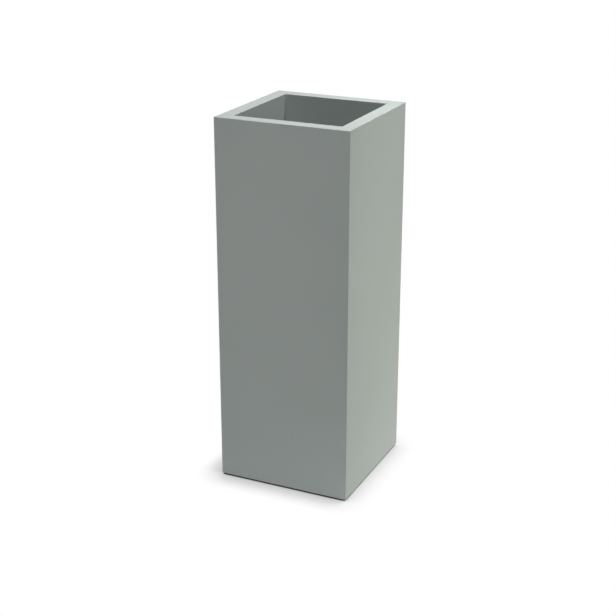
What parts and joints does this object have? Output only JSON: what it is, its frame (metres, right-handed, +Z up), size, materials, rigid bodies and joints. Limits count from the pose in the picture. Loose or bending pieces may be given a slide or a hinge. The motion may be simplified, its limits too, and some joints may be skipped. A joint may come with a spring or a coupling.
{
  "type": "square planter",
  "caption": "Tall square floor planter of folded coated sheet with a flat rim, a raised lift-out shelf tray and a lift-out liner with drop handles.",
  "frame": {"origin": "on the floor, under the middle of the square footprint", "axes": "+Z up, the front face looks along -Y, the right face along +X"},
  "size_m": [0.295, 0.295, 0.796],
  "materials": {
    "powder_coat": "satin powder coat, pale grey with a slight green cast",
    "galvanised_sheet": "dull hot-dip galvanised",
    "bright_steel": "drawn stainless wire and rivets",
    "rubber": "matt black moulded rubber"
  },
  "bodies": {
    "shell": {"front_panel": "powder_coat", "right_panel": "powder_coat", "back_panel": "powder_coat", "left_panel": "powder_coat", "base_pan": "powder_coat", "corner_angle_front_left": "powder_coat", "corner_angle_front_right": "powder_coat", "corner_angle_back_right": "powder_coat", "corner_angle_back_left": "powder_coat", "shelf_bracket_front": "powder_coat", "shelf_bracket_right": "powder_coat", "shelf_bracket_back": "powder_coat", "shelf_bracket_left": "powder_coat", "foot_front_left": "rubber", "foot_front_right": "rubber", "foot_back_right": "rubber", "foot_back_left": "rubber"},
    "plug": {"drain_plug": "rubber"},
    "shelf": {"shelf_tray": "galvanised_sheet"},
    "liner": {"liner": "galvanised_sheet", "left_bail_ears": "galvanised_sheet", "right_bail_ears": "galvanised_sheet", "ear_rivets": "bright_steel"},
    "bail_left": {"left_bail": "bright_steel"},
    "bail_right": {"right_bail": "bright_steel"}
  },
  "joints": [
    {"name": "plug_lift", "type": "slide", "parent": "shell", "child": "plug", "axis": [0, 0, 1], "range_m": [0, 0.03]},
    {"name": "shelf_lift", "type": "slide", "parent": "shell", "child": "shelf", "axis": [0, 0, 1], "range_m": [0, 0.38]},
    {"name": "liner_lift", "type": "slide", "parent": "shelf", "child": "liner", "axis": [0, 0, 1], "range_m": [0, 0.37]},
    {"name": "left_bail_swing", "type": "hinge", "parent": "liner", "child": "bail_left", "pos_m": [-0.1022, 0, 0.677], "axis": [0, -1, 0], "range_deg": [-5, 180]},
    {"name": "right_bail_swing", "type": "hinge", "parent": "liner", "child": "bail_right", "pos_m": [0.1022, 0, 0.677], "axis": [0, 1, 0], "range_deg": [-5, 180]}
  ]
}
